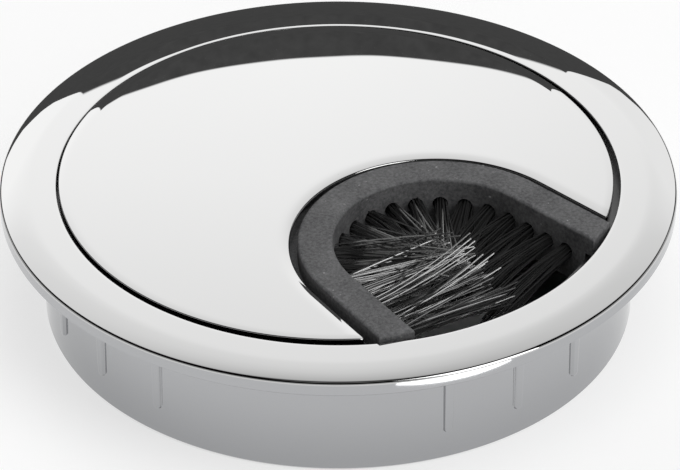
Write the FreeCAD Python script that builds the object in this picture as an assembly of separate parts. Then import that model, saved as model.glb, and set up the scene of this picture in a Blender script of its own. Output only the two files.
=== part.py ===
import FreeCAD, Part
import math
import os

# Brush cable grommet for a round hole in a desk top.
# Z = 0 is the desk top, the sleeve hangs below it, the bay opens towards -Y. Millimetres.

# Mounting ring
sleeve_radius = 39.6
sleeve_length = 16.0
sleeve_wall = 2.0
sleeve_end_chamfer = 0.4
flange_width = 5.4
flange_thickness = 2.4
flange_edge_round = 0.4
flange_crown_radius = 20.0
flange_crown_angle = 11.0
flange_heel_chamfer = 0.2
seat_wall = 2.15
seat_edge_round = 0.18
ledge_width = 1.5
ledge_thickness = 1.6

# Centring ribs on the sleeve, in groups on either side of a plane through the axis
rib_plane_angle = 222.7
rib_group_spread = 42.9
rib_pitch = 14.8
ribs_per_group = 3
rib_height = 0.21
rib_foot_height = 0.13
rib_top_width = 1.7
rib_foot_width = 1.4
rib_length = 11.7

# Cover
cover_thickness = 2.2
cover_proud = 0.2
cover_play = 0.55
cover_shift_share = 0.9
cover_edge_round = 0.25
cover_corner_round = 0.6
bay_depth = 35.3
bay_radius = 19.5
bay_flare = 6.0

# Brush holder
holder_gap = 1.05
holder_wall = 4.6
holder_proud = 0.55
holder_height = 8.0
holder_edge_round = 0.7
holder_end_gap = 0.1
holder_end_angle = 20.0
holder_ledge_gap = 0.5
lug_width = 5.0
lug_thickness = 1.6

# Screws that hold the holder under the cover
boss_radius = 1.5
boss_offset = 2.5
boss_gap = 0.1
boss_relief = 0.05
leg_boss_reach = 3.0
screw_radius = 0.9
screw_gap = 0.03
screw_bite = 1.0
screw_head_radius = 2.3
screw_head_height = 1.3
screw_head_chamfer = 0.5
screw_cross_width = 0.55
screw_cross_depth = 0.7

# Brush tufts
tuft_count = 19
tuft_hole_radius = 1.05
tuft_hole_depth = 3.2
tuft_axis_depth = 3.9
tuft_end_margin = 3.3
tuft_gap = 0.03
tuft_recess = 0.5
bristle_count = 18
bristle_sides = 5
bristle_width = 0.18
bristle_spread = 0.8
bristle_tip_clear = 2.2
bristle_meet_gap = 0.5
bristle_trim = 1.2
bristle_rise_ratio = 2.2
bristle_leg_ratio = 1.3
bristle_arc_ratio = 0.65

# Derived sizes
flange_radius = sleeve_radius + flange_width
sleeve_bore = sleeve_radius - sleeve_wall
seat_radius = sleeve_radius - seat_wall
ledge_radius = seat_radius - ledge_width
cover_radius = seat_radius - cover_play
cover_top = flange_thickness + cover_proud
cover_base = cover_top - cover_thickness
cover_shift = cover_play * cover_shift_share
holder_radius = bay_radius - holder_gap
brush_radius = holder_radius - holder_wall
holder_top = cover_top + holder_proud
holder_base = holder_top - holder_height
toe_radius = seat_radius - holder_end_gap
keel_radius = ledge_radius - holder_ledge_gap
lug_base = cover_base - lug_thickness
tuft_height = holder_top - tuft_axis_depth
flare = math.radians(bay_flare)
bay_y = cover_shift + bay_depth - bay_radius - cover_radius
half_arc = math.pi / 2 - flare
beyond = 2 * flange_radius

UP = FreeCAD.Vector(0, 0, 1)


def vec(x, y, z=0.0):
    return FreeCAD.Vector(x, y, z)


def polar(radius, degrees, z=0.0):
    a = math.radians(degrees)
    return vec(radius * math.cos(a), radius * math.sin(a), z)


def arc(centre, radius, start, end):
    """Arc in the XZ plane about centre, angles in degrees from +X towards +Z."""
    points = []
    for a in (start, (start + end) / 2, end):
        points.append(centre + vec(radius * math.cos(math.radians(a)), 0, radius * math.sin(math.radians(a))))
    return Part.Arc(*points).toShape()


def chain(items):
    """Closed face from arcs and corner points in the XZ plane, joined by straight lines."""
    edges = []
    first = None
    last = None
    for item in items:
        single = isinstance(item, FreeCAD.Vector)
        start = item if single else item.Vertexes[0].Point
        end = item if single else item.Vertexes[-1].Point
        if last is not None and last.distanceToPoint(start) > 1e-7:
            edges.append(Part.makeLine(last, start))
        if not single:
            edges.append(item)
        first = start if first is None else first
        last = end
    edges.append(Part.makeLine(last, first))
    return Part.Face(Part.Wire(edges))


def spin(face):
    return face.revolve(vec(0, 0), UP, 360)


def drum(radius, low, high):
    return Part.makeCylinder(radius, high - low, vec(0, 0, low))


def bay_point(radius, along):
    """Point and outward normal at a signed distance along the U-shaped bay line, 0 at its back."""
    side = 1.0 if along >= 0 else -1.0
    run = abs(along) - radius * half_arc
    angle = math.pi / 2 - min(abs(along) / radius, half_arc)
    normal = vec(side * math.cos(angle), math.sin(angle))
    point = vec(0, bay_y) + normal * radius
    if run > 0:
        point = point + vec(side * math.sin(flare), -math.cos(flare)) * run
    return point, normal


def bay_block(radius, low, high):
    """Solid of the U-shaped bay: an arc at the back and two flaring sides that run past the ring."""
    reach = radius * half_arc + beyond
    left, back, right = [bay_point(radius, s * radius * half_arc)[0] for s in (-1, 0, 1)]
    left_end, right_end = [bay_point(radius, s * reach)[0] for s in (-1, 1)]
    edges = [
        Part.Arc(left, back, right).toShape(),
        Part.makeLine(right, right_end),
        Part.makeLine(right_end, left_end),
        Part.makeLine(left_end, left),
    ]
    block = Part.Face(Part.Wire(edges)).extrude(vec(0, 0, high - low))
    block.translate(vec(0, 0, low))
    return block


def leg_length(radius, limit):
    """Length of a straight side of the bay line from the arc to a circle round the ring's axis."""
    base = bay_point(radius, radius * half_arc)[0]
    heading = vec(math.sin(flare), -math.cos(flare))
    lead = base.dot(heading)
    return -lead + math.sqrt(lead * lead - base.dot(base) + limit * limit)


def edges_at(shape, z):
    found = []
    for edge in shape.Edges:
        box = edge.BoundBox
        if abs(box.ZMin - z) < 1e-6 and abs(box.ZMax - z) < 1e-6:
            found.append(edge)
    return found


def mounting_ring():
    turn = math.radians(flange_crown_angle)
    crown_start = flange_radius - flange_edge_round
    crown_start = crown_start - (flange_crown_radius - flange_edge_round) * math.sin(turn)
    crown_centre = vec(crown_start, 0, flange_thickness - flange_crown_radius)
    edge_gap = flange_crown_radius - flange_edge_round
    edge_centre = crown_centre + vec(edge_gap * math.sin(turn), 0, edge_gap * math.cos(turn))
    seat_centre = vec(seat_radius + seat_edge_round, 0, flange_thickness - seat_edge_round)
    profile = chain([
        vec(seat_radius, 0, cover_base),
        arc(seat_centre, seat_edge_round, 180, 90),
        arc(crown_centre, flange_crown_radius, 90, 90 - flange_crown_angle),
        arc(edge_centre, flange_edge_round, 90 - flange_crown_angle, 0),
        vec(flange_radius, 0, flange_heel_chamfer),
        vec(flange_radius - flange_heel_chamfer, 0, 0),
        vec(sleeve_radius, 0, 0),
        vec(sleeve_radius, 0, sleeve_end_chamfer - sleeve_length),
        vec(sleeve_radius - sleeve_end_chamfer, 0, -sleeve_length),
        vec(sleeve_bore + sleeve_end_chamfer, 0, -sleeve_length),
        vec(sleeve_bore, 0, sleeve_end_chamfer - sleeve_length),
        vec(sleeve_bore, 0, cover_base - ledge_thickness),
        vec(ledge_radius, 0, cover_base - ledge_thickness),
        vec(ledge_radius, 0, cover_base),
    ])
    ring = spin(profile)
    crest = Part.makeCone(
        sleeve_radius + rib_foot_height, sleeve_radius + rib_height, rib_length, vec(0, 0, -rib_length))
    ribs = []
    for half in (0, 180):
        for side in (-1, 1):
            for k in range(ribs_per_group):
                step = (k - (ribs_per_group - 1) / 2) * rib_pitch
                ribs.append(rib(half + side * rib_group_spread + step, crest))
    ring = ring.fuse(ribs).removeSplitter()
    ring.rotate(vec(0, 0), UP, rib_plane_angle)
    return ring


def rib(degrees, crest):
    """Tongue on the sleeve, narrower and lower towards its round foot."""
    foot = rib_foot_width / 2
    root = sleeve_radius - sleeve_wall / 2
    outline = [
        Part.makeLine(vec(root, foot, foot - rib_length), vec(root, rib_top_width / 2, 0)),
        Part.makeLine(vec(root, rib_top_width / 2, 0), vec(root, -rib_top_width / 2, 0)),
        Part.makeLine(vec(root, -rib_top_width / 2, 0), vec(root, -foot, foot - rib_length)),
        Part.Arc(vec(root, -foot, foot - rib_length), vec(root, 0, -rib_length),
                 vec(root, foot, foot - rib_length)).toShape(),
    ]
    tongue = Part.Face(Part.Wire(outline)).extrude(vec(sleeve_wall, 0, 0))
    tongue.rotate(vec(0, 0), UP, degrees)
    return tongue.common(crest)


def boss_points():
    reach = holder_radius * half_arc + leg_boss_reach
    points = []
    for along in (-reach, 0, reach):
        point, normal = bay_point(holder_radius, along)
        points.append(point + normal * boss_offset)
    return points


def cover():
    plate = drum(cover_radius, cover_base, cover_top)
    plate.translate(vec(0, cover_shift))
    plate = plate.cut(bay_block(bay_radius, cover_base - 1, cover_top + 1))
    corners = []
    for edge in plate.Edges:
        upright = edge.BoundBox.ZLength > cover_thickness / 2
        if upright and abs(edge.Vertexes[0].Point.x) > bay_radius / 2:
            corners.append(edge)
    plate = plate.makeFillet(cover_corner_round, corners)
    plate = plate.makeFillet(cover_edge_round, edges_at(plate, cover_top))
    bosses = []
    pilots = []
    for point in boss_points():
        low = lug_base + boss_relief
        bosses.append(Part.makeCylinder(boss_radius, cover_base + screw_bite - low, point + UP * low))
        depth = cover_base + screw_bite + screw_gap - low
        pilots.append(Part.makeCylinder(screw_radius + screw_gap, depth, point + UP * low))
    return plate.fuse(bosses).removeSplitter().cut(pilots)


def end_block(side):
    """Block beyond the straight end of one leg, which starts where its outer wall comes up to the seat."""
    reach = holder_radius * half_arc + leg_length(holder_radius, toe_radius)
    corner = bay_point(holder_radius, side * reach)[0]
    block = Part.makeBox(beyond + 2 * holder_wall, beyond, holder_height)
    block.translate(vec(-2 * holder_wall if side > 0 else -beyond, -beyond, holder_base))
    block.rotate(vec(0, 0), UP, side * holder_end_angle)
    block.translate(corner)
    return block


def brush_holder():
    top = bay_block(holder_radius, cover_base, holder_top).common(drum(toe_radius, cover_base, holder_top))
    top = top.cut([end_block(-1), end_block(1)])
    keel = bay_block(holder_radius, holder_base, cover_base).common(drum(keel_radius, holder_base, cover_base))
    lug = bay_block(holder_radius + lug_width, lug_base, cover_base)
    lug = lug.common(drum(keel_radius, lug_base, cover_base))
    body = top.fuse([keel, lug])
    body = body.cut(bay_block(brush_radius, holder_base - 1, holder_top + 1)).removeSplitter()
    body = body.makeFillet(holder_edge_round, edges_at(body, holder_top))
    holes = []
    for point in boss_points():
        holes.append(Part.makeCylinder(boss_radius + boss_gap, lug_thickness, point + UP * lug_base))
    for point, normal in tuft_places():
        start = point - normal
        holes.append(Part.makeCylinder(tuft_hole_radius, tuft_hole_depth + 1, start, normal))
    return body.cut(holes)


def tuft_span():
    """Length of the bay line from its back to the outermost tuft."""
    return brush_radius * half_arc + leg_length(brush_radius, keel_radius) - tuft_end_margin


def tuft_places():
    places = []
    for i in range(tuft_count):
        point, normal = bay_point(brush_radius, tuft_span() * (2 * i / (tuft_count - 1) - 1))
        places.append((point + UP * tuft_height, normal))
    return places


def bristle(start, end):
    """Straight filament of regular section between two points."""
    axis = end - start
    corners = [polar(bristle_width / 2, 360 * k / bristle_sides) for k in range(bristle_sides + 1)]
    face = Part.Face(Part.makePolygon(corners))
    face.Placement = FreeCAD.Placement(start, FreeCAD.Rotation(UP, axis))
    return face.extrude(axis)


def tuft(index, point, normal):
    """Bundle packed in its hole. Its filaments fan out, and stop where those of other tufts begin."""
    inward = normal * -1
    across = UP.cross(normal)
    bundle = Part.makeCylinder(
        tuft_hole_radius - tuft_gap, tuft_hole_depth - tuft_recess, point + normal * tuft_hole_depth, inward)
    on_leg = abs(normal.y - math.sin(flare)) < 1e-6
    sector = math.tan(tuft_span() / (tuft_count - 1) / brush_radius)
    threads = []
    for j in range(bristle_count):
        turn = math.pi * (3 - math.sqrt(5)) * (j + index)
        size = bristle_spread * math.sqrt((j + 0.5) / bristle_count)
        left = size * math.cos(turn)
        rise = size * math.sin(turn)
        if on_leg:
            tip = left * bristle_leg_ratio
            reach = abs(point.x) / math.cos(flare) - bristle_meet_gap
        else:
            tip = left * bristle_arc_ratio
            reach = brush_radius - max(bristle_tip_clear, (abs(tip) + bristle_width) / sector)
        reach = reach - bristle_trim * ((0.618 * j + 0.37 * index) % 1.0)
        start = point + normal * (2 * tuft_recess) + across * left + UP * rise
        end = point + inward * reach + across * tip + UP * (rise * bristle_rise_ratio)
        threads.append(bristle(start, end))
    return bundle.fuse(threads)


def screws():
    heads = []
    for point in boss_points():
        low = lug_base - screw_head_height
        head = Part.makeCylinder(screw_head_radius, screw_head_height, point + UP * low)
        head = head.makeChamfer(screw_head_chamfer, edges_at(head, low))
        shank = Part.makeCylinder(screw_radius, cover_base + screw_bite - lug_base, point + UP * lug_base)
        screw = head.fuse(shank).removeSplitter()
        for turn in (0, 90):
            arm = Part.makeBox(screw_head_radius * 1.2, screw_cross_width, screw_cross_depth)
            arm.translate(vec(-screw_head_radius * 0.6, -screw_cross_width / 2, low))
            arm.rotate(vec(0, 0), UP, turn)
            arm.translate(point)
            screw = screw.cut(arm)
        heads.append(screw)
    return Part.makeCompound(heads)


os.makedirs("parts", exist_ok=True)

nodes = {
    "mounting_ring": mounting_ring(),
    "cover": cover(),
    "brush_holder": brush_holder(),
    "holder_screws": screws(),
}
for index, (point, normal) in enumerate(tuft_places()):
    nodes["tuft_%02d" % (index + 1)] = tuft(index, point, normal)

for name, shape in nodes.items():
    shape.exportStep("parts/%s.step" % name)
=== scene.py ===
# %% [markdown]
# # Brush cable grommet
# A round desk grommet: a chromed ring with a ribbed sleeve, a chromed cover with a U-shaped bay,
# a black holder in the bay, and tufts of black filament that close the bay round the cables.
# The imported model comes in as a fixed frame. Everything made here sits in that same frame, in metres.
# Each step says what the piece is, how it could be made, and why it is made this way.

# %% Load the frame
import bpy
import math
import numpy as np
from mathutils import Matrix, Vector


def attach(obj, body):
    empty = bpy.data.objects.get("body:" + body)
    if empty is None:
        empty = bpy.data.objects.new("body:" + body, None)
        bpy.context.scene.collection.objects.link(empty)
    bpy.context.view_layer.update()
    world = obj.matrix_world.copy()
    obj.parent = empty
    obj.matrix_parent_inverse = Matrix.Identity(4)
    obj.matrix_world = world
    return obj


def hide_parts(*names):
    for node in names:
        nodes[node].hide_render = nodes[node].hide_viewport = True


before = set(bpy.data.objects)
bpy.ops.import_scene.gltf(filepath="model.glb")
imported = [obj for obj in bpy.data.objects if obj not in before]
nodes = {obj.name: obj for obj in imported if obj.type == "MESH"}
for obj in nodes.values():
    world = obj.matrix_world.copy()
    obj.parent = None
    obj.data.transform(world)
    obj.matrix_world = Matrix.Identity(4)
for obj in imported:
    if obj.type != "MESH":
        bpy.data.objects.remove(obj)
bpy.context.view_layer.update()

# %% [markdown]
# ## Sizes
# The surfaces below repeat the sizes of the solid model, so that each new skin lies on its solid.
# The roll of the edges is finer here than in the solids, because polish shows every edge, and the ribs
# stand a little higher, because low ribs lose their shading on a shiny sleeve.

# %% Sizes of the pieces
MM = 0.001
FLANGE_R, FLANGE_T = 45.0 * MM, 2.4 * MM
SLEEVE_R, SLEEVE_BORE, SLEEVE_L = 39.6 * MM, 37.6 * MM, 16.0 * MM
SEAT_R, LEDGE_R, LEDGE_T = 37.45 * MM, 35.95 * MM, 1.6 * MM
COVER_R, COVER_TOP, COVER_BASE, COVER_Y = 36.9 * MM, 2.6 * MM, 0.4 * MM, 0.495 * MM
BAY_R, BAY_DEPTH, BAY_FLARE = 19.5 * MM, 35.3 * MM, math.radians(6.0)
BAY_Y = COVER_Y + BAY_DEPTH - BAY_R - COVER_R
HALF_ARC = math.pi / 2 - BAY_FLARE
HOLDER_R, BRUSH_R, END_ANGLE = 18.45 * MM, 13.85 * MM, math.radians(20)
HOLDER_TOP, HOLDER_BASE = 3.15 * MM, -4.85 * MM
TOE_R, KEEL_R = 37.35 * MM, 35.45 * MM
LUG_W, LUG_BASE = 5.0 * MM, -1.2 * MM
TUFTS, TUFT_Z, TUFT_HOLE_R, TUFT_HOLE_D = 19, -0.75 * MM, 1.05 * MM, 3.2 * MM
print("bay centre y (mm):", round(BAY_Y / MM, 2))

# %% [markdown]
# ## From grids to meshes
# A rigid piece could be modelled by hand with loop cuts and bevels. Here every skin is a grid of points
# worked out with numpy, because a formula gives clean, even reflections and can be read back.
# One helper turns a list of grids into one mesh: neighbouring points become quads, a grid may close on
# itself, and loose polygons close what is still open.

# %% Grid helpers
SHARP = math.radians(35.0)


def quads(rows, cols, start, wrap):
    """Quad (i,j),(i+1,j),(i+1,j+1),(i,j+1) for every cell; with wrap the last column joins the first."""
    i, j = np.meshgrid(np.arange(rows - 1), np.arange(cols if wrap else cols - 1), indexing="ij")
    row, below, k = i * cols, (i + 1) * cols, (j + 1) % cols
    return start + np.stack([row + j, below + j, below + k, row + k], -1).reshape(-1, 4)


def skin(name, grids, caps=()):
    """One object from (grid, wrap, flip) entries. Caps are loose polygons given as point arrays."""
    points, faces, start = [], [], 0
    for grid, wrap, flip in grids:
        cells = quads(grid.shape[0], grid.shape[1], start, wrap)
        faces.extend((cells[:, ::-1] if flip else cells).tolist())
        points.append(grid.reshape(-1, 3))
        start += points[-1].shape[0]
    for cap in caps:
        faces.append(list(range(start, start + len(cap))))
        points.append(np.asarray(cap))
        start += len(cap)
    mesh = bpy.data.meshes.new(name)
    mesh.from_pydata(np.concatenate(points).tolist(), [], faces)
    mesh.polygons.foreach_set("use_smooth", np.ones(len(mesh.polygons), dtype=bool))
    mesh.set_sharp_from_angle(angle=SHARP)
    piece = bpy.data.objects.new(name, mesh)
    bpy.context.scene.collection.objects.link(piece)
    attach(piece, "root")
    print(name, "faces:", len(faces))
    return piece


def arc_points(centre, radius, start, end, count):
    """Points centre + radius * (cos a, sin a), for angles from start to end in degrees."""
    a = np.radians(np.linspace(start, end, count))
    return np.stack([centre[0] + radius * np.cos(a), centre[1] + radius * np.sin(a)], 1)


# %% [markdown]
# ## Mounting ring
# The real ring is one polished casting. A lathe-like Screw modifier could turn it; here its profile is
# spun round the axis as an array, so that the number of steps suits the mirror finish.
# The flange is flat, then falls away softly towards its rim before a tight round edge:
# that soft fall is what draws the grey gradient and the thin dark line along the rim.

# %% Ring profile
CROWN_TURN, CROWN_R, RIM_ROUND = 11.0, 20.0 * MM, 0.4 * MM
LIP_TURN, LIP_R, SEAT_ROUND = 2.2, 10.0 * MM, 0.15 * MM
HEEL, FOOT = 0.2 * MM, 0.4 * MM
SEAT_WALL, RIM_WALL, NECK = 0.5 * MM, 0.3 * MM, 0.05 * MM
SEAT_STEPS, LIP_STEPS, FLAT_STEPS = 9, 9, 5
CROWN_STEPS, RIM_STEPS, SLEEVE_STEPS, RING_STEPS = 18, 14, 6, 480


def ring_profile():
    """Closed (r, z) outline of the ring's section: seat, flange top, crown, rim, sleeve, bore, ledge.

    A small round of radius e meets a large one of radius R at a lean t, so their centres are
    (R - e) apart along that lean.
    """
    lean, tilt = math.radians(CROWN_TURN), math.radians(LIP_TURN)
    crown_c = (FLANGE_R - RIM_ROUND - (CROWN_R - RIM_ROUND) * math.sin(lean), FLANGE_T - CROWN_R)
    rim_c = (FLANGE_R - RIM_ROUND, crown_c[1] + (CROWN_R - RIM_ROUND) * math.cos(lean))
    lip_c = (SEAT_R + SEAT_ROUND + (LIP_R - SEAT_ROUND) * math.sin(tilt), FLANGE_T - LIP_R)
    seat_c = (SEAT_R + SEAT_ROUND, lip_c[1] + (LIP_R - SEAT_ROUND) * math.cos(tilt))
    ledge_base = COVER_BASE - LEDGE_T
    flat = np.linspace(lip_c[0], crown_c[0], FLAT_STEPS + 2)[1:-1]
    parts = [
        np.array([[SEAT_R, COVER_BASE], [SEAT_R, COVER_BASE + SEAT_WALL]]),
        arc_points(seat_c, SEAT_ROUND, 180, 90 + LIP_TURN, SEAT_STEPS),
        arc_points(lip_c, LIP_R, 90 + LIP_TURN, 90, LIP_STEPS)[1:],
        np.stack([flat, np.full(FLAT_STEPS, FLANGE_T)], 1),
        arc_points(crown_c, CROWN_R, 90, 90 - CROWN_TURN, CROWN_STEPS),
        arc_points(rim_c, RIM_ROUND, 90 - CROWN_TURN, 0, RIM_STEPS)[1:],
        np.array([[FLANGE_R, HEEL + RIM_WALL], [FLANGE_R, HEEL], [FLANGE_R - HEEL, 0], [SLEEVE_R, 0]]),
        np.stack([np.full(SLEEVE_STEPS, SLEEVE_R), np.linspace(-NECK, FOOT - SLEEVE_L, SLEEVE_STEPS)], 1),
        np.array([[SLEEVE_R - FOOT, -SLEEVE_L], [SLEEVE_BORE + FOOT, -SLEEVE_L],
                  [SLEEVE_BORE, FOOT - SLEEVE_L], [SLEEVE_BORE, ledge_base], [LEDGE_R, ledge_base],
                  [LEDGE_R, COVER_BASE], [SEAT_R, COVER_BASE]]),
    ]
    return np.concatenate(parts)


def spun(profile, count):
    """Grid of a profile turned about Z: x = r cos t, y = r sin t."""
    t = np.linspace(0, 2 * math.pi, count, endpoint=False)
    r, z = profile[:, :1], profile[:, 1:]
    return np.stack([r * np.cos(t), r * np.sin(t), z + 0 * t], -1)


profile = ring_profile()
print("profile points:", len(profile))

# %% [markdown]
# Low tapered ribs centre the sleeve in its hole. They stand in four groups of three. A Boolean could
# weld them on, but its cut edges would show in the plating, so each rib is a tongue that sinks
# just under the sleeve's surface.

# %% Ribs and ring
RIB_L, RIB_TOP_W, RIB_FOOT_W = 11.7 * MM, 0.85 * MM, 0.7 * MM
RIB_RISE, RIB_LOSS, RIB_SUNK = 0.5 * MM, 0.14 * MM, 0.03 * MM
RIB_FLANK, RIB_SHARES = 0.34, (0, 0.4, 0.64, 0.7, 0.76, 0.82, 0.88, 0.94, 1.0)
RIB_SIDE_STEPS, RIB_END_STEPS = 24, 21
RIB_PLANE, RIB_SPREAD, RIB_PITCH = 222.7, 42.9, 14.8


def rib(degrees):
    """Tongue on the sleeve: lines run from its middle (s = 0) out to a rounded outline (s = 1).

    The height is (rise - loss * drop) times an eased step over the flank. The outline itself is sunk.
    """
    straight = RIB_L - RIB_FOOT_W
    drop = np.linspace(0, 1, RIB_SIDE_STEPS)
    a = np.linspace(0, math.pi, RIB_END_STEPS)[1:-1]
    side_z = -drop * straight
    side_w = RIB_TOP_W + (RIB_FOOT_W - RIB_TOP_W) * drop
    out_w = np.concatenate([side_w, RIB_FOOT_W * np.cos(a), -side_w[::-1]])
    out_z = np.concatenate([side_z, -straight - RIB_FOOT_W * np.sin(a), side_z[::-1]])
    mid_z = np.maximum(out_z, -straight)
    s = np.array(RIB_SHARES)[:, None]
    across, z = out_w * s, mid_z + (out_z - mid_z) * s
    step = np.clip((1 - s) / RIB_FLANK, 0, 1)
    rise = (RIB_RISE + RIB_LOSS * z / RIB_L) * (step * step * (3 - 2 * step)) - RIB_SUNK * (1 - step)
    turn = math.radians(degrees) + across / SLEEVE_R
    r = SLEEVE_R + rise
    return np.stack([r * np.cos(turn), r * np.sin(turn), z], -1)


rib_angles = [RIB_PLANE + half + side * RIB_SPREAD + step * RIB_PITCH
              for half in (0, 180) for side in (-1, 1) for step in (-1, 0, 1)]
ribs = [rib(degrees) for degrees in rib_angles]
rib_backs = [grid[-1] for grid in ribs]
rib_ends = [np.concatenate([grid[::-1, -1], grid[1:, 0]]) for grid in ribs]
ring_grids = [(spun(profile, RING_STEPS), True, False)] + [(grid, False, True) for grid in ribs]
ring = skin("mounting_ring_skin", ring_grids, caps=rib_backs + rib_ends)
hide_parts("mounting_ring")

# %% [markdown]
# ## The bay line
# Cover, holder and tufts all follow one U-shaped line: an arc at the back and two legs that flare
# towards the ring. A Blender curve could carry it, but as a function it gives any offset of the U exactly.
# A point on it is given by a radius and a signed distance from the back.

# %% Bay line
LEG_HEADING = np.array([math.sin(BAY_FLARE), -math.cos(BAY_FLARE)])


def bay_line(radius, along):
    """Arc of the given radius about the bay's centre, then legs tangent to it; also the outward normal."""
    along = np.asarray(along, float)
    side = np.where(along >= 0, 1.0, -1.0)
    a = math.pi / 2 - np.minimum(np.abs(along) / radius, HALF_ARC)
    run = np.maximum(np.abs(along) - radius * HALF_ARC, 0)
    normal = np.stack([side * np.cos(a), np.sin(a)], -1)
    leg = np.stack([side * LEG_HEADING[0], np.full_like(side, LEG_HEADING[1])], -1)
    return np.array([0, BAY_Y]) + normal * np.asarray(radius)[..., None] + leg * run[..., None], normal


def leg_length(radius, limit):
    """Length of a leg from the arc's end to a circle of radius limit round the ring's axis."""
    base = bay_line(radius, radius * HALF_ARC)[0]
    lead = base @ LEG_HEADING
    return -lead + math.sqrt(lead * lead - base @ base + limit * limit)


print("holder leg (mm):", round(leg_length(HOLDER_R, TOE_R) / MM, 2))

# %% [markdown]
# ## Cover
# The cover is a flat polished plate with the bay cut out of it. A filled curve would give one big
# face, and a mirror shows the least kink in it. So the outline is cut in two at the tips of its arms,
# into the rim half and the bay half, and lines from one half to the other fill the plate.

# %% Cover outline
TIP_ROUND, LEG_SEARCH = 0.3 * MM, 16 * MM
TIP_STEPS, RIM_ARC_STEPS, BAY_LINE_STEPS, SEARCH_STEPS = 12, 600, 500, 4001


def spread(points, count):
    """Points at equal steps along a polyline."""
    step = np.concatenate([[0], np.cumsum(np.hypot(*np.diff(points, axis=0).T))])
    at = np.linspace(0, step[-1], count)
    return np.stack([np.interp(at, step, points[:, 0]), np.interp(at, step, points[:, 1])], 1)


def mirrored(half):
    """A line from the right arm to the middle, carried on by its mirror image to the left arm."""
    return np.concatenate([half, (half * np.array([-1, 1]))[-2::-1]])


def cover_halves(count):
    """Rim half and bay half of the outline, both from the right arm's tip to the left arm's tip.

    The tip is a small circle that touches leg and rim: its centre lies a tip's radius off both.
    """
    centre = np.array([0, COVER_Y])
    reach = BAY_R * HALF_ARC + np.linspace(0, LEG_SEARCH, SEARCH_STEPS)
    line, normal = bay_line(BAY_R, reach)
    rounds = line + normal * TIP_ROUND
    hit = np.argmin(np.abs(np.hypot(*(rounds - centre).T) - (COVER_R - TIP_ROUND)))
    tip_c, leg_normal, rim_normal = rounds[hit], normal[hit], rounds[hit] - centre
    rim_turn = math.degrees(math.atan2(rim_normal[1], rim_normal[0]))
    bay_turn = math.degrees(math.atan2(-leg_normal[1], -leg_normal[0]))
    bay_turn += 360 if bay_turn < rim_turn - 180 else 0
    bay_turn -= 360 if bay_turn > rim_turn else 0
    middle = (bay_turn + rim_turn) / 2
    rim = arc_points(centre, COVER_R, rim_turn, 90, RIM_ARC_STEPS)
    back = bay_line(BAY_R, np.linspace(reach[hit], 0, BAY_LINE_STEPS))[0]
    rim_half = np.concatenate([arc_points(tip_c, TIP_ROUND, middle, rim_turn, TIP_STEPS), rim[1:]])
    bay_half = np.concatenate([arc_points(tip_c, TIP_ROUND, middle, bay_turn, TIP_STEPS), back[1:]])
    return spread(mirrored(rim_half), count), spread(mirrored(bay_half), count)


COVER_COLUMNS = 721
rim_half, bay_half = cover_halves(COVER_COLUMNS)
print("arm tip (mm):", np.round(rim_half[0] / MM, 2))

# %% [markdown]
# The plate is not quite flat: polishing leaves a faint crown and takes a little off near both edges.
# A Bevel modifier would round rim and bay alike. Here each row of the grid has its own height, so the two
# can fall and roll by different amounts.

# %% Cover plate
RIM_EDGE, BAY_EDGE = 0.14 * MM, 0.25 * MM
PLATE_CROWN = 0.06 * MM
RIM_FALL, RIM_FALL_W = 0.05 * MM, 1.2 * MM
BAY_FALL, BAY_FALL_W = 0.09 * MM, 2.0 * MM
FALL_POWER = 2.5
EDGE_ROWS, TOP_ROWS, UNDER_ROWS = 8, 40, 5


def inset(half, depth):
    """Moves an outline half sideways, along its own normal, by the given depth."""
    d = np.gradient(half, axis=0)
    d /= np.hypot(d[:, 0], d[:, 1])[:, None]
    return half + np.stack([-d[:, 1], d[:, 0]], 1) * depth


def soft_fall(distance, depth, width):
    """Loss of height near an edge: depth * (1 - distance / width) ^ power, and none past the width."""
    return depth * np.clip(1 - distance / width, 0, 1) ** FALL_POWER


def plate_height(p):
    """Top of the plate, less a crown of depth * (r / R) ^ 2 and the soft falls at rim and bay."""
    radius = np.hypot(p[..., 0], p[..., 1] - COVER_Y)
    x, y = np.abs(p[..., 0]), p[..., 1] - BAY_Y
    run = -y * math.cos(BAY_FLARE) + x * math.sin(BAY_FLARE)
    leg = x * math.cos(BAY_FLARE) + y * math.sin(BAY_FLARE)
    from_bay = np.where(run > 0, leg, np.hypot(x, y)) - BAY_R
    crown = PLATE_CROWN * (radius / COVER_R) ** 2
    edges = soft_fall(COVER_R - radius, RIM_FALL, RIM_FALL_W) + soft_fall(from_bay, BAY_FALL, BAY_FALL_W)
    return COVER_TOP - crown - edges


def rolled_edge(half, edge, side):
    """Rows of a quarter round from an outline half up to the top; side is 1 at the rim, -1 at the bay."""
    a = np.linspace(0, math.pi / 2, EDGE_ROWS)
    top = plate_height(inset(half, side * edge))
    return [np.column_stack([inset(half, side * edge * (1 - c)), top - edge * (1 - s)])
            for c, s in zip(np.cos(a), np.sin(a))]


def cover_grid():
    """Rows that go once round the plate: rim wall, rim round, top, bay round, bay wall, underside."""
    rim_top, bay_top = inset(rim_half, RIM_EDGE), inset(bay_half, -BAY_EDGE)
    shares = (1 - np.cos(np.linspace(0, math.pi, TOP_ROWS + 2)[1:-1])) / 2
    low = np.full(COVER_COLUMNS, COVER_BASE)
    rows = [np.column_stack([rim_half, low])] + rolled_edge(rim_half, RIM_EDGE, 1)
    for share in shares:
        flat = rim_top * (1 - share) + bay_top * share
        rows.append(np.column_stack([flat, plate_height(flat)]))
    rows += rolled_edge(bay_half, BAY_EDGE, -1)[::-1]
    for share in np.linspace(0, 1, UNDER_ROWS):
        rows.append(np.column_stack([bay_half * (1 - share) + rim_half * share, low]))
    return np.stack(rows)


plate = cover_grid()
cover = skin("cover_skin", [(plate, False, True)], caps=(plate[:, 0], plate[::-1, -1]))
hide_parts("cover")

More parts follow.
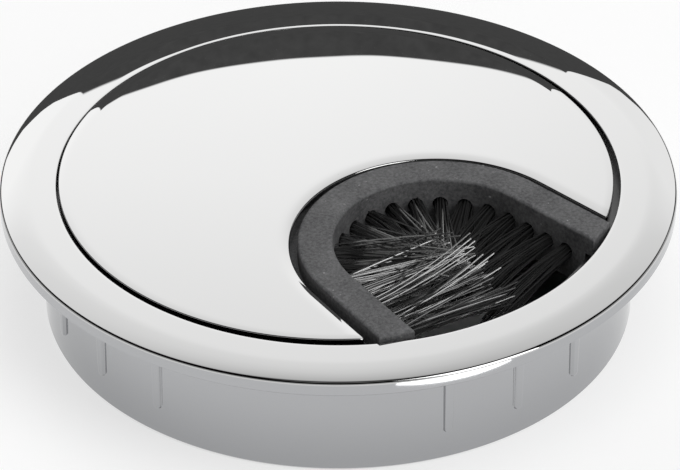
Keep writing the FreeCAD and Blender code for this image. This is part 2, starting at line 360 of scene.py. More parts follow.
# %% [markdown]
# ## Brush holder
# The holder is a moulded strip bent into a U. A bevelled curve could make a plain strip, but this one
# has ends cut at two different lines. So its top, its keel and the lug under the cover are three
# sections carried along the bay line, each with its own length of leg.

# %% Holder sections
HOLDER_WALL, HOLDER_SOFT = HOLDER_R - BRUSH_R, 0.4 * MM
ARC_STEPS, LEG_STEPS, END_STEPS = 80, 15, 9
BROW_STEPS, TOP_STEPS = 10, 6


def keel_reach(radius):
    """Leg length of the parts under the cover: they stop at a circle inside the ledge."""
    return leg_length(radius, KEEL_R)


def toe_reach(radius):
    """Leg length above the ledge: a straight cut that starts where the outer wall meets the seat."""
    corner = bay_line(HOLDER_R, HOLDER_R * HALF_ARC + leg_length(HOLDER_R, TOE_R))[0]
    base = bay_line(radius, radius * HALF_ARC)[0]
    facing = np.array([math.sin(END_ANGLE), -math.cos(END_ANGLE)])
    return (corner - base) @ facing / (LEG_HEADING @ facing)


def carried(section, reach, soft=0.0):
    """Grid of (offset, z) points carried along the bay line; the top's ends sink by a quarter round."""
    rows = []
    round_off = soft * (1 - np.sin(np.linspace(0, math.pi / 2, END_STEPS)))
    for offset, z in section:
        r = BRUSH_R + offset
        leg = reach(r)
        left = np.concatenate([np.linspace(leg, soft, LEG_STEPS), round_off[1:] if soft else []])
        arc = np.linspace(0, r * HALF_ARC, ARC_STEPS + 1)[:-1]
        along = np.concatenate([arc, r * HALF_ARC + leg - left])
        gap = np.concatenate([np.full(ARC_STEPS, leg), left])
        line = bay_line(r, np.concatenate([-along[:0:-1], along]))[0]
        sink = np.clip(soft - np.concatenate([gap[:0:-1], gap]), 0, soft)
        height = np.minimum(z, HOLDER_TOP - soft + np.sqrt(soft ** 2 - sink ** 2))
        rows.append(np.column_stack([line, height]))
    return np.stack(rows)


brow, outer, lug_out = HOLDER_TOP - HOLDER_SOFT, HOLDER_WALL - HOLDER_SOFT, HOLDER_WALL + LUG_W
upper = np.concatenate([
    arc_points((HOLDER_SOFT, brow), HOLDER_SOFT, 180, 90, BROW_STEPS),
    np.stack([np.linspace(HOLDER_SOFT, outer, TOP_STEPS + 2)[1:-1], np.full(TOP_STEPS, HOLDER_TOP)], 1),
    arc_points((outer, brow), HOLDER_SOFT, 90, 0, BROW_STEPS),
    [[HOLDER_WALL, COVER_BASE]],
])
keel = np.array([[HOLDER_WALL, LUG_BASE], [HOLDER_WALL, HOLDER_BASE], [0, HOLDER_BASE]])
lug = np.array([[HOLDER_WALL, COVER_BASE], [lug_out, COVER_BASE], [lug_out, LUG_BASE],
                [HOLDER_WALL, LUG_BASE]])
upper_grid = carried(upper, toe_reach, HOLDER_SOFT)
keel_grid, lug_grid = carried(keel, keel_reach), carried(lug, keel_reach)
print("holder grids:", upper_grid.shape, keel_grid.shape, lug_grid.shape)

# %% [markdown]
# The inner wall has one round hole for each tuft. Cutting holes with a Boolean leaves long thin faces,
# so the wall is made of cells, one for each tuft: a cell runs from a square border to its round hole,
# and the hole goes on into the wall as a short blind tube. Plain strips fill the wall's two ends.

# %% Holder inner wall
TUFT_END = 3.3 * MM
CELL_STEPS, CELL_SHARES = 16, (0, 0.04, 0.12, 0.3, 0.6, 1.0)
TUBE_ROWS, STRIP_COLUMNS, STRIP_ROWS = 4, 4, 3
tuft_span = BRUSH_R * HALF_ARC + leg_length(BRUSH_R, KEEL_R) - TUFT_END
tuft_pitch = 2 * tuft_span / (TUFTS - 1)


def tuft_place(index):
    """Signed distance of a tuft along the bay line, from -span at the near leg to +span at the far one."""
    return tuft_span * (2 * index / (TUFTS - 1) - 1)


def on_wall(along, z, offset=0.0):
    """Point of the inner wall at a distance along the bay line and a height, set back by offset."""
    line, normal = bay_line(BRUSH_R, along)
    return np.concatenate([line + normal * np.asarray(offset)[..., None], np.asarray(z)[..., None]], -1)


def wall_cell(centre):
    """From a round hole to its cell's border: (1-m) * circle + m * rectangle; also the hole's tube."""
    high, low, half = brow - TUFT_Z, TUFT_Z - HOLDER_BASE, tuft_pitch / 2
    side, one = np.linspace(0, 1, CELL_STEPS + 1)[:-1], np.ones(CELL_STEPS)
    rise = (high + low) * side
    x = half * np.concatenate([one, 1 - 2 * side, -one, 2 * side - 1, [1]])
    y = np.concatenate([rise - low, high * one, high - rise, -low * one, [-low]])
    a = np.arctan2(y, x)
    c, s = np.cos(a), np.sin(a)
    m = np.array(CELL_SHARES)[:, None]
    r = TUFT_HOLE_R * (1 - m) + np.hypot(x, y) * m
    face = on_wall(centre + r * c, TUFT_Z + r * s)
    depth = np.linspace(0, TUFT_HOLE_D, TUBE_ROWS)[:, None] + 0 * a
    tube = on_wall(centre + TUFT_HOLE_R * c + 0 * depth, TUFT_Z + TUFT_HOLE_R * s + 0 * depth, depth)
    return face, tube


def end_strip(sign, reach, low, high):
    """Plain inner wall between the last cell and a leg's end."""
    first = tuft_span + tuft_pitch / 2
    last = BRUSH_R * HALF_ARC + reach(BRUSH_R)
    along = sign * np.linspace(first, last, STRIP_COLUMNS)
    return on_wall(*np.meshgrid(along, np.linspace(low, high, STRIP_ROWS)))


print("tuft pitch (mm):", round(tuft_pitch / MM, 2))

# %% [markdown]
# At the ends of both legs, flat faces close the toe, the keel, the lug and the step between toe and keel.
# They could be filled in by hand, but made from the grids' own end points they leave nothing open.

# %% Holder skin
def end_corner(sign, reach, offset):
    """Corner of a leg's end at the height of the cover's underside, offset from the inner wall."""
    r = BRUSH_R + offset
    return np.append(bay_line(r, sign * (r * HALF_ARC + reach(r)))[0], COVER_BASE)


def end_caps(sign, column):
    """Closing faces of one leg; sign is -1 for the first column of the grids and 1 for the last."""
    toe_in, toe_out = (end_corner(sign, toe_reach, offset) for offset in (0.0, HOLDER_WALL))
    keel_in, keel_out = (end_corner(sign, keel_reach, offset) for offset in (0.0, HOLDER_WALL))
    toe = np.vstack([upper_grid[:, column], toe_in])
    heel = np.vstack([keel_out, keel_grid[:, column], keel_in])
    step = np.stack([toe_in, toe_out, keel_out, keel_in])
    return [cap[::-sign] for cap in (toe, heel, step, lug_grid[:, column])]


grids, caps = [(upper_grid, False, True), (keel_grid, False, True), (lug_grid, False, True)], []
for i in range(TUFTS):
    face, tube = wall_cell(tuft_place(i))
    grids += [(face, False, False), (tube, False, True)]
    caps.append(tube[-1, :-1])
for sign, column in ((-1, 0), (1, -1)):
    grids.append((end_strip(sign, toe_reach, COVER_BASE, brow), False, sign > 0))
    grids.append((end_strip(sign, keel_reach, HOLDER_BASE, COVER_BASE), False, sign > 0))
    caps += end_caps(sign, column)
holder = skin("brush_holder_skin", grids, caps=caps)
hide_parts("brush_holder")

# %% [markdown]
# ## Brush tufts
# Each hole holds a sheaf of thin nylon filaments. Hair strands would draw them, but they would be no mesh
# to hand over, so a filament is a five-sided tube along a slightly bent line: it leaves the hole,
# spreads a little with its neighbours, and ends in a pale cut. A few strays stand out of the sheaf, as
# they do in a used brush. Two tufts of the near leg have some lifted filaments, and those of the far
# side are fuller and hang down.

# %% Filaments
rng = np.random.default_rng(11)
THREAD_R, SHEAF_R, ROOT_DEPTH = 0.09 * MM, 0.9 * MM, 2.4 * MM
THREAD_ROWS, THREAD_SIDES = 7, 5
GOLDEN_TURN = math.pi * (3 - math.sqrt(5))
NEAR_LEG, LONG_TUFTS, SPARKLING, FAR_SIDE = 3, 8, 9, 13
PLAIN_COUNT, PLAIN_WIDEN, PLAIN_HANG, PLAIN_DULL = 30, -0.35, -0.1 * MM, 0.9
FAR_COUNT, FAR_WIDEN, FAR_HANG, FAR_SHINE = 46, 1.2, -3.0 * MM, 0.05
MANY_STRAYS, FEW_STRAYS, NEAR_DULL, SPARKLE_DULL = 0.2, 0.05, 2.4, 0.45
LIFTED_TUFTS, LIFTED_SHARE, LIFT, LIFT_VARIES, LIFTED_SHINE = (1, 2), 0.2, 3.6 * MM, 0.7 * MM, 0.8
SHEAF_LEAN, SHEAF_RISE, FAN_UP = 0.5 * MM, 0.2 * MM, 0.5
WANDER, BEND, LENGTH_VARIES = 0.55 * MM, 0.5 * MM, 0.7
STRAY_WANDER, STRAY_RISE, STRAY_RISE_VARIES, STRAY_LOSS = 2.0 * MM, 0.8 * MM, 1.6 * MM, 1.2
REACH, LONG_EXTRA, SHORT_BY, SHORT_AT, SHORT_WIDTH = 14.6, 2.0, 3.6, 11, 2.0


def thread_tubes(p, up):
    """Tubes p + R * (e1 cos a + e2 sin a), with e1 and e2 square to the line's direction."""
    t = np.gradient(p, axis=0)
    t /= np.linalg.norm(t, axis=-1, keepdims=True)
    e1 = np.cross(t, up)
    e1 /= np.linalg.norm(e1, axis=-1, keepdims=True)
    e2 = np.cross(e1, t)
    a = np.arange(THREAD_SIDES) * 2 * math.pi / THREAD_SIDES
    round_line = e1[:, :, None] * np.cos(a)[:, None] + e2[:, :, None] * np.sin(a)[:, None]
    return (p[:, :, None] + round_line * THREAD_R).transpose(1, 0, 2, 3)


def sheaf(index):
    """Tubes round root + inward*d + across*(u + du*s + bu*s*s) + up*(v + dv*s + bv*s*s), s from 0 to 1.

    The reach is in mm. A bell curve round one tuft takes some off, and the long tufts have more.
    """
    line, normal = bay_line(BRUSH_R, tuft_place(index))
    root, inward = np.append(line, TUFT_Z), np.append(-normal, 0)
    across, up = np.array([-normal[1], normal[0], 0]), np.array([0, 0, 1.0])
    far, long = index >= FAR_SIDE, index < LONG_TUFTS
    count = FAR_COUNT if far else PLAIN_COUNT
    widen, hang = (FAR_WIDEN, FAR_HANG) if far else (PLAIN_WIDEN, PLAIN_HANG)
    j = np.arange(count)
    r = SHEAF_R * np.sqrt((j + 0.5) / count)
    turn = j * GOLDEN_TURN + index
    u, v = r * np.cos(turn), r * np.sin(turn)
    stray = rng.random(count) < (MANY_STRAYS if long else FEW_STRAYS)
    lean_u, lean_v = rng.normal(0, SHEAF_LEAN), rng.normal(SHEAF_RISE, SHEAF_LEAN)
    du = lean_u + widen * u + rng.normal(0, WANDER, count)
    du += stray * rng.normal(0, STRAY_WANDER, count)
    dv = lean_v + FAN_UP * v + rng.normal(0, WANDER, count)
    dv += stray * rng.normal(STRAY_RISE, STRAY_RISE_VARIES, count)
    bu, bv = rng.normal(0, BEND, count), rng.normal(hang, BEND, count)
    lifted = (rng.random(count) < LIFTED_SHARE) * (index in LIFTED_TUFTS)
    bv += lifted * rng.normal(LIFT, LIFT_VARIES, count)
    dullness = NEAR_DULL if index < NEAR_LEG else SPARKLE_DULL if index < SPARKLING else PLAIN_DULL
    shine = np.maximum(rng.random(count) ** dullness * (FAR_SHINE if far else 1.0), LIFTED_SHINE * lifted)
    reach = REACH - SHORT_BY * math.exp(-((index - SHORT_AT) / SHORT_WIDTH) ** 2) + LONG_EXTRA * long
    length = (reach + rng.normal(0, LENGTH_VARIES, count) - STRAY_LOSS * stray) * MM
    s = np.linspace(0, 1, THREAD_ROWS)[:, None]
    d = (length + ROOT_DEPTH) * s - ROOT_DEPTH
    p = (root + d[..., None] * inward + (u + du * s + bu * s * s)[..., None] * across
         + (v + dv * s + bv * s * s)[..., None] * up)
    return thread_tubes(p, up), shine


print("filament across (mm):", 2 * THREAD_R / MM)

# %% [markdown]
# Every point of a tuft also carries two numbers for its finish: its share of the length, which is 2 on
# the cut ends, and how much its filament shines, which sets its coat and its painted glint. An image could
# carry them too, but every tube would have to be unwrapped for it, and attributes need nothing of the kind.

# %% Tuft pieces
CUT_END = 2.0


def tuft_piece(index):
    """One object from all filaments of a tuft, with the share of length and the shine as attributes."""
    tubes, shine = sheaf(index)
    count, rows, sides = tubes.shape[:3]
    grids = [(tube, True, False) for tube in tubes]
    tips, roots = tubes[:, -1, ::-1], tubes[:, 0]
    name = "tuft_%02d_filaments" % (index + 1)
    piece = skin(name, grids, caps=np.concatenate([tips, roots]))
    on_tube = np.tile(np.repeat(np.linspace(0, 1, rows), sides), count)
    share = np.concatenate([on_tube, np.full(count * sides, CUT_END), np.zeros(count * sides)])
    gloss = np.concatenate([np.repeat(shine, rows * sides), np.tile(np.repeat(shine, sides), 2)])
    for key, value in (("share", share), ("shine", gloss)):
        piece.data.attributes.new(key, "FLOAT", "POINT").data.foreach_set("value", value)
    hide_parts("tuft_%02d" % (index + 1))
    return piece


tufts = [tuft_piece(i) for i in range(TUFTS)]

# %% [markdown]
# ## Node arithmetic
# Shader maths reads better as Python than as a web of nodes, so one small class wraps a socket.
# Its operators add Math nodes, and its one method put adds any other node.

# %% Wire class
class Wire:
    """A socket in a node tree. An expression on wires adds the nodes that work it out."""

    def __init__(self, tree, socket=None):
        self.tree, self.socket = tree, socket

    def put(self, kind, settings=None, inputs=None, out=0):
        """Adds a node: settings first, then socket values or links; gives back one of its outputs."""
        node = self.tree.nodes.new(kind)
        for key, value in (settings or {}).items():
            if key == "stops":
                self.fill(node.color_ramp.elements, value)
            else:
                setattr(node, key, value)
        for key, value in (inputs or {}).items():
            if isinstance(value, Wire):
                self.tree.links.new(value.socket, node.inputs[key])
            else:
                node.inputs[key].default_value = value
        return Wire(self.tree, node.outputs[out])

    @staticmethod
    def fill(elements, stops):
        """Sets a ramp's stops from (place, shade) pairs; a shade is a grey level or a colour."""
        while len(elements) < len(stops):
            elements.new(0.5)
        for element, (place, shade) in zip(elements, stops):
            element.position = place
            element.color = (shade if isinstance(shade, tuple) else (shade, shade, shade)) + (1,)

    def maths(self, operation, *values):
        """A Math node on wires or numbers."""
        return self.put("ShaderNodeMath", {"operation": operation}, dict(enumerate(values)))

    def __add__(self, other):
        return self.maths("ADD", self, other)

    def __sub__(self, other):
        return self.maths("SUBTRACT", self, other)

    def __mul__(self, other):
        if isinstance(other, tuple):
            return self.put("ShaderNodeVectorMath", {"operation": "MULTIPLY"}, {0: self, 1: other})
        return self.maths("MULTIPLY", self, other)

    def __rsub__(self, other):
        return self.maths("SUBTRACT", other, self)

    __radd__, __rmul__ = __add__, __mul__

    def smooth(self, low, high):
        """Eased step from 0 at low to 1 at high."""
        return self.put("ShaderNodeMapRange", {"interpolation_type": "SMOOTHSTEP"},
                        {"Value": self, "From Min": low, "From Max": high, "To Min": 0.0, "To Max": 1.0})

    def blend(self, first, second):
        """Mix of two colours: first where this wire is 0, second where it is 1."""
        factor, colour_a, colour_b, colour_out = 0, 6, 7, 2
        return self.put("ShaderNodeMix", {"data_type": "RGBA"},
                        {factor: self, colour_a: first, colour_b: second}, colour_out)

    def noise(self, **inputs):
        """Noise texture on this wire's coordinates."""
        return self.put("ShaderNodeTexNoise", inputs={"Vector": self, **inputs})

    def axis_distance(self):
        """Distance from the Z axis, for a wire of coordinates."""
        return self.put("ShaderNodeVectorMath", {"operation": "LENGTH"}, {0: self * (1, 1, 0)}, "Value")

    def feed(self, socket):
        """Links this wire to a socket of another node."""
        self.tree.links.new(self.socket, socket)


print("operators of a wire: + - *")

# %% [markdown]
# Every finish starts in the same way: a material with Blender's general-purpose Principled shader, whose
# inputs are then fed. Object coordinates carry the patterns, so that they stay put on the piece.

# %% Finish helpers
def finish(name):
    """A new material, the inputs of its Principled shader, and a Wire for its tree."""
    material = bpy.data.materials.new(name)
    material.use_nodes = True
    w = Wire(material.node_tree)
    return material, w.tree.nodes["Principled BSDF"].inputs, w


def object_space(w):
    """Coordinates of the piece itself, in metres."""
    return w.put("ShaderNodeTexCoord", out="Object")


def dress(piece, material):
    """Gives a piece one material."""
    piece.data.materials.clear()
    piece.data.materials.append(material)


print("materials so far:", len(bpy.data.materials))

# %% [markdown]
# ## Finishes
# Chrome plating is a near mirror, and a plain Metallic of 1 would do for a toy. What makes it look real is
# tiny: faint wiping marks in the gloss and a very shallow waviness left by polishing the casting.
# The sleeve and the upright rim are plated without the last polish and are a little rougher; their
# colour is darker too, as painted shade for the shaded floor they mirror, darkest at the sleeve's foot.
# Inside the seat, in the gap between ring and cover, the colour is painted dark as shade, and the gloss
# is rough. All of it follows height and radius, so it reads Object coordinates.

# %% Chrome plate
POLISHED, SEAT_GAP_SHADE = (0.605, 0.605, 0.603, 1), (0.13, 0.13, 0.13, 1)
SLEEVE_FOOT_SHADE, SLEEVE_NECK_SHADE = (0.385, 0.39, 0.4, 1), (0.432, 0.437, 0.447, 1)
NECK_Z, POLISH_Z, DULL_AND_SHADE_FADE, SEAT_GAP_FADE = -4 * MM, 1.75 * MM, 0.2 * MM, 0.06 * MM
MIRROR_ROUGH, SMEAR_ROUGH, DULL_ROUGH, SEAT_GAP_ROUGH = 0.004, 0.02, 0.06, 0.25
WAVE_DEPTH = 0.4 * MM


def chrome_plate(name, seat, polished):
    """Plating: polished down to a height, rougher below it and painted darker there as shade, and painted
    dark as shade inside the seat radius.
    """
    material, shader, w = finish(name)
    here = object_space(w)
    smear = here.noise(Scale=60.0, Detail=5.0, Roughness=0.6)
    wave = here.noise(Scale=45.0, Detail=1.0)
    height = w.put("ShaderNodeSeparateXYZ", inputs={"Vector": here}, out="Z")
    dull_and_shaded = 1 - height.smooth(polished - DULL_AND_SHADE_FADE, polished)
    # Painted shade: dark colour inside the seat radius, in the narrow gap between ring and cover.
    seat_gap = 1 - here.axis_distance().smooth(seat, seat + SEAT_GAP_FADE)
    # Painted shade: darker plating colour on sleeve and rim, darkest at the foot, for the shaded floor they
    # mirror.
    lower = height.smooth(-SLEEVE_L, NECK_Z).blend(SLEEVE_FOOT_SHADE, SLEEVE_NECK_SHADE)
    seat_gap.blend(dull_and_shaded.blend(POLISHED, lower), SEAT_GAP_SHADE).feed(shader["Base Color"])
    rough = MIRROR_ROUGH + SMEAR_ROUGH * smear.smooth(0.5, 0.8) + DULL_ROUGH * dull_and_shaded + SEAT_GAP_ROUGH * seat_gap
    rough.feed(shader["Roughness"])
    bump = w.put("ShaderNodeBump", inputs={"Height": wave, "Strength": 0.02, "Distance": WAVE_DEPTH})
    bump.feed(shader["Normal"])
    shader["Metallic"].default_value = 1.0
    return material


dress(ring, chrome_plate("chrome_plate", SEAT_R, POLISH_Z))
dress(cover, chrome_plate("chrome_cover", 0.0, 0.0))
print("plated:", ring.name, cover.name)

# %% [markdown]
# The holder is matte moulded plastic: dark grey rather than black. One flat grey would look like
# paint, so a fine grain, a soft cloud and a few scuffed specks are mixed into one ramp.

# %% Black plastic
GRAIN_DEPTH = 0.06 * MM
plastic, shader, w = finish("black_plastic")
here = object_space(w)
grain = here.noise(Scale=2200.0, Detail=4.0, Roughness=0.7)
cloud = here.noise(Scale=260.0, Detail=3.0)
speck = here.noise(Scale=1500.0, Detail=1.0).smooth(0.74, 0.82)
plastic_stops = [(0.28, (0.045, 0.045, 0.047)), (0.52, (0.145, 0.145, 0.147)), (1.0, 0.4)]
mottle = 0.55 * grain + 0.25 * cloud + 0.4 * speck
shade = w.put("ShaderNodeValToRGB", {"stops": plastic_stops}, {"Fac": mottle})
bump = w.put("ShaderNodeBump", inputs={"Height": grain, "Strength": 0.35, "Distance": GRAIN_DEPTH})
shade.feed(shader["Base Color"])
(0.5 + 0.2 * cloud).feed(shader["Roughness"])
bump.feed(shader["Normal"])
shader["Specular IOR Level"].default_value = 0.4
dress(holder, plastic)
print("moulded:", holder.name)

# %% [markdown]
# The filaments are smooth black nylon. Their cut ends scatter light, so those are pale, and the shiniest
# filaments are painted lighter grey along their length, a painted glint. A pattern in space would run
# across the strands, so the finish reads the two attributes that follow each filament.

# %% Nylon filament
nylon, shader, w = finish("bristles")
share = w.put("ShaderNodeAttribute", {"attribute_name": "share"}, out="Fac")
shine = w.put("ShaderNodeAttribute", {"attribute_name": "shine"}, out="Fac")
cut = share.smooth(1.2, 1.8)
near_tip = share.smooth(0.3, 1.0)
# glint: painted highlight, a lighter base colour on the shiniest filaments.
glint = shine.smooth(0.5, 1.0) * share.smooth(0.15, 0.35) * (1 - cut)
grey = 0.4 * (near_tip + glint - near_tip * glint) + 0.6 * cut + 0.2 * glint
nylon_stops = [(0.0, 0.02), (0.4, 0.034), (1.0, (0.7, 0.7, 0.69))]
w.put("ShaderNodeValToRGB", {"stops": nylon_stops}, {"Fac": grey}).feed(shader["Base Color"])
(0.45 + 0.25 * cut).feed(shader["Roughness"])
((1 - cut) * shine).feed(shader["Coat Weight"])
shader["Specular IOR Level"].default_value = 0.08
shader["Coat IOR"].default_value = 2.7
shader["Coat Roughness"].default_value = 0.16
for piece in tufts:
    dress(piece, nylon)
print("brushed:", len(tufts), "tufts")

# %% [markdown]
# The three screws under the cover stay as modelled, in bright plated steel. Nobody sees them until the
# cover is turned over, so a little unevenness in the gloss is enough.

# %% Screw steel
steel, shader, w = finish("screw_steel")
here = object_space(w)
shader["Base Color"].default_value = (0.55, 0.55, 0.54, 1)
shader["Metallic"].default_value = 1.0
(0.25 + 0.2 * here.noise(Scale=900.0, Detail=4.0)).feed(shader["Roughness"])
dress(nodes["holder_screws"], steel)
print("plated:", nodes["holder_screws"].name)

# %% [markdown]
# ## Floor
# A plain pale floor at the foot of the sleeve. A curved sweep could stand in for it, but from this height
# only a flat plane is ever seen. To the camera and to mirrors it is most of the way to plain white, which
# keeps a pale shadow. Inside the sleeve it has only the light that falls in, as the hole in a desk has,
# and its colour is painted darker there as shade.

# %% Pale floor
FLOOR_SPAN, FLOOR_WHITE = 3.0, 0.65
INSIDE_FLOOR_SHADE, OPEN_FLOOR = (0.7, 0.7, 0.7, 1), (0.93, 0.93, 0.93, 1)
corners = [(x * FLOOR_SPAN, y * FLOOR_SPAN, -SLEEVE_L) for x, y in ((-1, -1), (1, -1), (1, 1), (-1, 1))]
floor_mesh = bpy.data.meshes.new("floor")
floor_mesh.from_pydata(corners, [], [(0, 1, 2, 3)])
floor = bpy.data.objects.new("floor", floor_mesh)
bpy.context.scene.collection.objects.link(floor)
pale, shader, w = finish("pale_floor")
here = object_space(w)
open_floor = here.axis_distance().smooth(SLEEVE_BORE, SLEEVE_R)
# Painted shade: the floor's colour is darker inside the sleeve's bore.
open_floor.blend(INSIDE_FLOOR_SHADE, OPEN_FLOOR).feed(shader["Base Color"])
shader["Roughness"].default_value = 0.9
shader["Specular IOR Level"].default_value = 0.1
camera_ray, mirror_ray, clear_ray = (w.put("ShaderNodeLightPath", out="Is %s Ray" % kind)
                                     for kind in ("Camera", "Glossy", "Transmission"))
lit_floor = Wire(w.tree, w.tree.nodes["Principled BSDF"].outputs[0])
whiteness = FLOOR_WHITE * open_floor * (camera_ray + mirror_ray + clear_ray)
mixed = w.put("ShaderNodeMixShader", inputs={0: whiteness, 1: lit_floor, 2: w.put("ShaderNodeEmission")})
mixed.feed(w.tree.nodes["Material Output"].inputs["Surface"])
dress(floor, pale)
print("floor height (mm):", -SLEEVE_L / MM)

# %% [markdown]
# ## Camera
# The viewpoint was fitted to the outlines of flange, sleeve and seat: a long lens, 34 degrees above the
# flange, about 40 degrees to the left of the bay's mouth. It could be set by eye, but in polished metal a
# small error moves every reflection. The lens is shifted, not turned, which keeps the fitted perspective.

# %% Camera
VIEW_TURN, VIEW_RISE, VIEW_DISTANCE = 39.76, 34.28, 0.5
PICTURE_W_PX, FOCAL_PX, SHIFT_X_PX, SHIFT_Y_PX = 680, 3759, 1.72, -59.5


def toward(azimuth, elevation):
    """Unit vector at an azimuth from the camera's side (right is positive) and an elevation, in degrees."""
    a, e = math.radians(azimuth - 90 - VIEW_TURN), math.radians(elevation)
    return Vector((math.cos(a) * math.cos(e), math.sin(a) * math.cos(e), math.sin(e)))


centre = Vector((0, 0, FLANGE_T))
eye = centre + toward(0, VIEW_RISE) * VIEW_DISTANCE
lens = bpy.data.cameras.new("camera")
lens.sensor_width = 36.0
lens.lens = FOCAL_PX / PICTURE_W_PX * lens.sensor_width
lens.shift_x, lens.shift_y = SHIFT_X_PX / PICTURE_W_PX, SHIFT_Y_PX / PICTURE_W_PX
lens.clip_start = 0.01
camera = bpy.data.objects.new("camera", lens)
camera.location = eye
camera.rotation_mode = "QUATERNION"
camera.rotation_quaternion = (centre - eye).normalized().to_track_quat("-Z", "Y")
bpy.context.scene.collection.objects.link(camera)
bpy.context.scene.camera = camera
print("lens:", round(lens.lens, 1))

# %% [markdown]
# ## Light
# Polished metal shows the room, so the room is drawn as a picture of directions in the world's shader.
# Modelled walls would do the same, but would stand in the way of other views. A bright panel stands
# behind the object, brightest at its lower edge. Below it is a dark gap with an uneven upper edge, the
# skyline; above it a dark ceiling with a faint glow overhead; and low pale walls run round the rest.

# %% Room directions
world = bpy.data.worlds.new("studio")
bpy.context.scene.world = world
world.use_nodes = True
w = Wire(world.node_tree)
ray = w.put("ShaderNodeTexCoord", out="Generated")
DEGREES = 180 / math.pi


def ray_cosine(azimuth, elevation):
    """Cosine of the angle between the ray and a direction."""
    way = tuple(toward(azimuth, elevation))
    return w.put("ShaderNodeVectorMath", {"operation": "DOT_PRODUCT"}, {0: ray, 1: way}, "Value")


height = w.put("ShaderNodeSeparateXYZ", inputs={"Vector": ray}, out="Z")
elevation = w.maths("ARCSINE", height) * DEGREES
bearing = w.maths("ARCTAN2", ray_cosine(90, 0), ray_cosine(180, 0)) * DEGREES
away = w.maths("ABSOLUTE", bearing)
print("bearing 0 looks along:", [round(v, 2) for v in toward(180, 0)])

# %% [markdown]
# The skyline is the lower of two lines: slopes given by a few (bearing, elevation) stops, and a hollow
# shaped like the foot of a circle. A ramp holds values from 0 to 1, so degrees are scaled into it and out.

# %% Room picture
SKYLINE = [(-17, 25.8), (-15.6, 25.0), (-14, 25.3), (-12.67, 25.6), (-11.72, 26.18), (-10.8, 26.82),
           (-7.85, 29.75), (-4.2, 33.38), (3.6, 33.33), (4.98, 31.46), (8.38, 26.87), (11.61, 22.42),
           (12.72, 21.7), (13.65, 21.9)]
SKY_HALF, SKY_LOW, SKY_RISE = 20, 20, 20
PANEL_STOPS = [(0.267, 0.728), (0.318, 0.68), (0.378, 0.598), (0.462, 0.55), (0.576, 0.522), (0.68, 0.478),
               (0.769, 0.416), (0.867, 0.33), (0.933, 0.002)]
PANEL_LOW, PANEL_RISE, PANEL_LEVEL = 20, 45, 2
PANEL_EDGE, PANEL_DIM, DIM_SIDE = (26, 30), 0.14, (-0.02, 0.16)
HOLLOW_R, HOLLOW_TOP, HOLLOW_SHARE, HOLLOW_MIDDLE, BRINK_BLUR = 9.855, 42, 0.79, 0.33, 0.02
GAP_EDGE, GAP_LEVEL, GAP_SPECKLE = (36, 42), 0.05, 0.05
WALL_EDGE, WALL_TOP, WALL_LEVEL = (38, 46), (24, 30), 0.45
CEILING_EDGE, CEILING_LEVEL, NIGHT_LEVEL = (78, 86), 0.25, 0.004

sky_stops = [((b + SKY_HALF) / (2 * SKY_HALF), (e - SKY_LOW) / SKY_RISE) for b, e in SKYLINE]
sky_place = (bearing + SKY_HALF) * (1 / (2 * SKY_HALF))
slopes = SKY_LOW + SKY_RISE * w.put("ShaderNodeValToRGB", {"stops": sky_stops}, {"Fac": sky_place})
across = HOLLOW_SHARE * (bearing - HOLLOW_MIDDLE)
bowl = w.maths("MAXIMUM", HOLLOW_R ** 2 - across * across, 0.0)
brink = w.maths("MINIMUM", slopes, HOLLOW_TOP - w.maths("SQRT", bowl))
raised = (elevation - brink).smooth(-BRINK_BLUR, BRINK_BLUR)
panel_place = (elevation - PANEL_LOW) * (1 / PANEL_RISE)
tone = w.put("ShaderNodeValToRGB", {"stops": PANEL_STOPS}, {"Fac": panel_place})
dim = 1 - PANEL_DIM * ray_cosine(90, 0).smooth(*DIM_SIDE)
panel = raised * (1 - away.smooth(*PANEL_EDGE)) * dim * tone * PANEL_LEVEL
speckle = ray.noise(Scale=260.0, Detail=3.0)
gap = (1 - raised) * (1 - away.smooth(*GAP_EDGE)) * (GAP_LEVEL + GAP_SPECKLE * speckle)
walls = WALL_LEVEL * away.smooth(*WALL_EDGE) * (1 - elevation.smooth(*WALL_TOP))
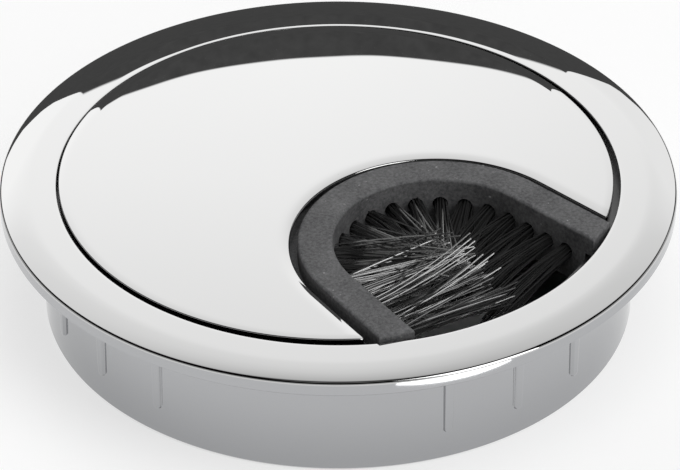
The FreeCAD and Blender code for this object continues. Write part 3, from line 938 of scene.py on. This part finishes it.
ceiling = CEILING_LEVEL * elevation.smooth(*CEILING_EDGE)
(NIGHT_LEVEL + panel + gap + walls + ceiling).feed(world.node_tree.nodes["Background"].inputs["Color"])
print("skyline stops:", len(SKYLINE))

# %% [markdown]
# One sun lamp would light the object, but would give the metal nothing to mirror. So there are four lamps:
# a tall soft box at the front right, whose reflection runs along the edges as a white line; a broad soft
# lamp overhead and a weaker one at the rear left, which only light and are not mirrored; and a narrow
# strip on the floor that draws the streak on the flange's upright rim.

# %% Lamps
def lamp(name, spot, aim, side, width, depth, radiance, glossy=True):
    """Rectangular lamp that shines along aim, its width along side; power is radiance * pi * area."""
    data = bpy.data.lights.new(name, "AREA")
    data.shape, data.size, data.size_y = "RECTANGLE", width, depth
    data.energy = radiance * math.pi * width * depth
    item = bpy.data.objects.new(name, data)
    item.location = spot
    item.rotation_mode = "QUATERNION"
    item.rotation_quaternion = Matrix((side, side.cross(aim), -aim)).transposed().to_quaternion()
    item.visible_glossy, item.visible_camera = glossy, False
    bpy.context.scene.collection.objects.link(item)
    print(name, "at (m):", [round(v, 3) for v in spot])


def aimed(name, azimuth, elevation, distance, width, depth, radiance, glossy=True):
    """Lamp aimed at the object from a direction."""
    way = toward(azimuth, elevation)
    side = way.cross(Vector((0, 0, 1))).normalized()
    lamp(name, way * distance, -way, side, width, depth, radiance, glossy)


aimed("soft_box", 48, 33, distance=1.0, width=0.55, depth=1.0, radiance=2.6)
aimed("overhead", 75, 76, distance=1.2, width=1.2, depth=1.2, radiance=2.2, glossy=False)
aimed("side_fill", -130, 30, distance=1.0, width=0.9, depth=0.7, radiance=1.6, glossy=False)
STRIP_RIGHT, STRIP_FRONT, STRIP_Z, STRIP_TURN = 29.9 * MM, 61.2 * MM, -15.9 * MM, 119
STRIP_L, STRIP_W = 32 * MM, 3 * MM
spot = toward(90, 0) * STRIP_RIGHT + toward(0, 0) * STRIP_FRONT + Vector((0, 0, STRIP_Z))
lamp("floor_strip", spot, Vector((0, 0, 1)), toward(STRIP_TURN, 0), STRIP_L, STRIP_W, radiance=3.0)
bpy.context.scene.view_settings.view_transform = "Standard"
